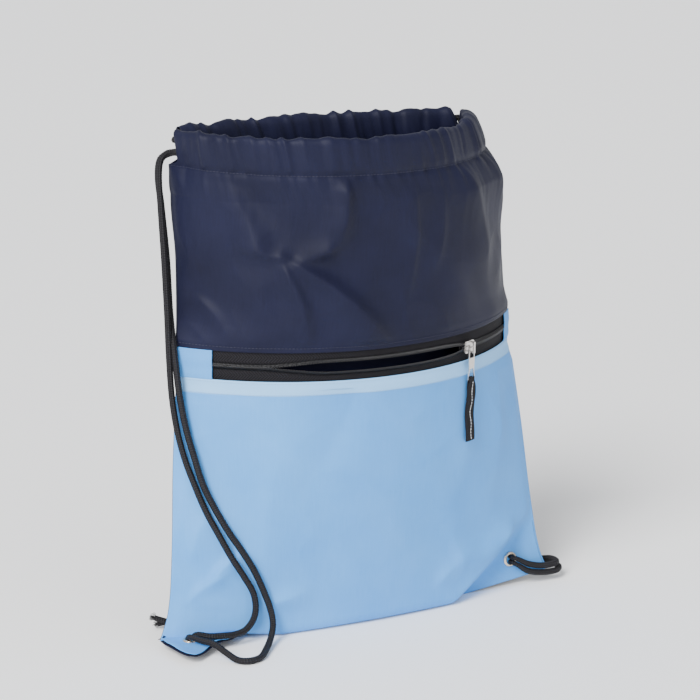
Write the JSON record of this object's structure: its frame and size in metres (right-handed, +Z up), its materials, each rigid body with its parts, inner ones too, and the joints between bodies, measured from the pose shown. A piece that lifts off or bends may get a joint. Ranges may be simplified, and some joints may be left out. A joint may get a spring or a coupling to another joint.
{
  "type": "drawstring backpack",
  "caption": "Open-topped drawstring backpack with a zipped front pocket, eyelets in its bottom corners and a braided cord on each side that closes the mouth and forms the shoulder straps.",
  "frame": {"origin": "on the floor under the middle of the standing bag, at the bottom centre of its bounding box without the free cords", "axes": "+Z up towards the mouth, -Y out of the pocket side, +X to the viewer's right when the pocket is seen"},
  "size_m": [0.4075, 0.1532, 0.44],
  "materials": {
    "navy_polyester": "plain-woven polyester, soft sheen",
    "sky_polyester": "plain-woven polyester, soft sheen",
    "black_webbing": "woven tape",
    "black_cord": "braided polyester",
    "nylon_coil": "moulded nylon",
    "nickel": "polished nickel plate",
    "eyelet_metal": "polished, pale plated brass"
  },
  "bodies": {
    "bag": {"back_channel": "navy_polyester", "back_panel": "navy_polyester", "front_channel": "navy_polyester", "front_upper_panel": "navy_polyester", "pocket_back_panel": "navy_polyester", "pocket_front_panel": "sky_polyester", "zip_end_tab_left": "sky_polyester", "zip_end_tab_right": "sky_polyester", "zip_tape_lower": "black_webbing", "zip_tape_upper": "black_webbing", "zip_teeth_lower": "nylon_coil", "zip_teeth_upper": "nylon_coil", "eyelet_left": "eyelet_metal", "eyelet_left_washer": "eyelet_metal", "eyelet_right": "eyelet_metal", "eyelet_right_washer": "eyelet_metal", "drawcord_left": "black_cord", "drawcord_right": "black_cord", "cord_knot_left": "black_cord", "cord_knot_right": "black_cord"},
    "zip_slider": {"slider_body": "nickel"},
    "zip_pull": {"slider_pull": "nickel"},
    "ribbon": {"pull_ribbon": "black_webbing"}
  },
  "joints": [
    {"name": "zip_slide", "type": "hinge", "parent": "bag", "child": "zip_slider", "pos_m": [0, 0.15218, 0.2437], "axis": [0, 0, 1], "range_deg": [-54, 8], "deforming": ["zip_teeth_upper", "zip_teeth_lower"]},
    {"name": "pull_swing", "type": "hinge", "parent": "zip_slider", "child": "zip_pull", "pos_m": [0.08812, -0.04515, 0.2437], "axis": [-0.9131, -0.4077, 0], "range_deg": [0, 115]},
    {"name": "ribbon_swing", "type": "hinge", "parent": "zip_pull", "child": "ribbon", "pos_m": [0.08812, -0.04515, 0.2147], "axis": [-0.9131, -0.4077, 0], "range_deg": [0, 60]}
  ]
}
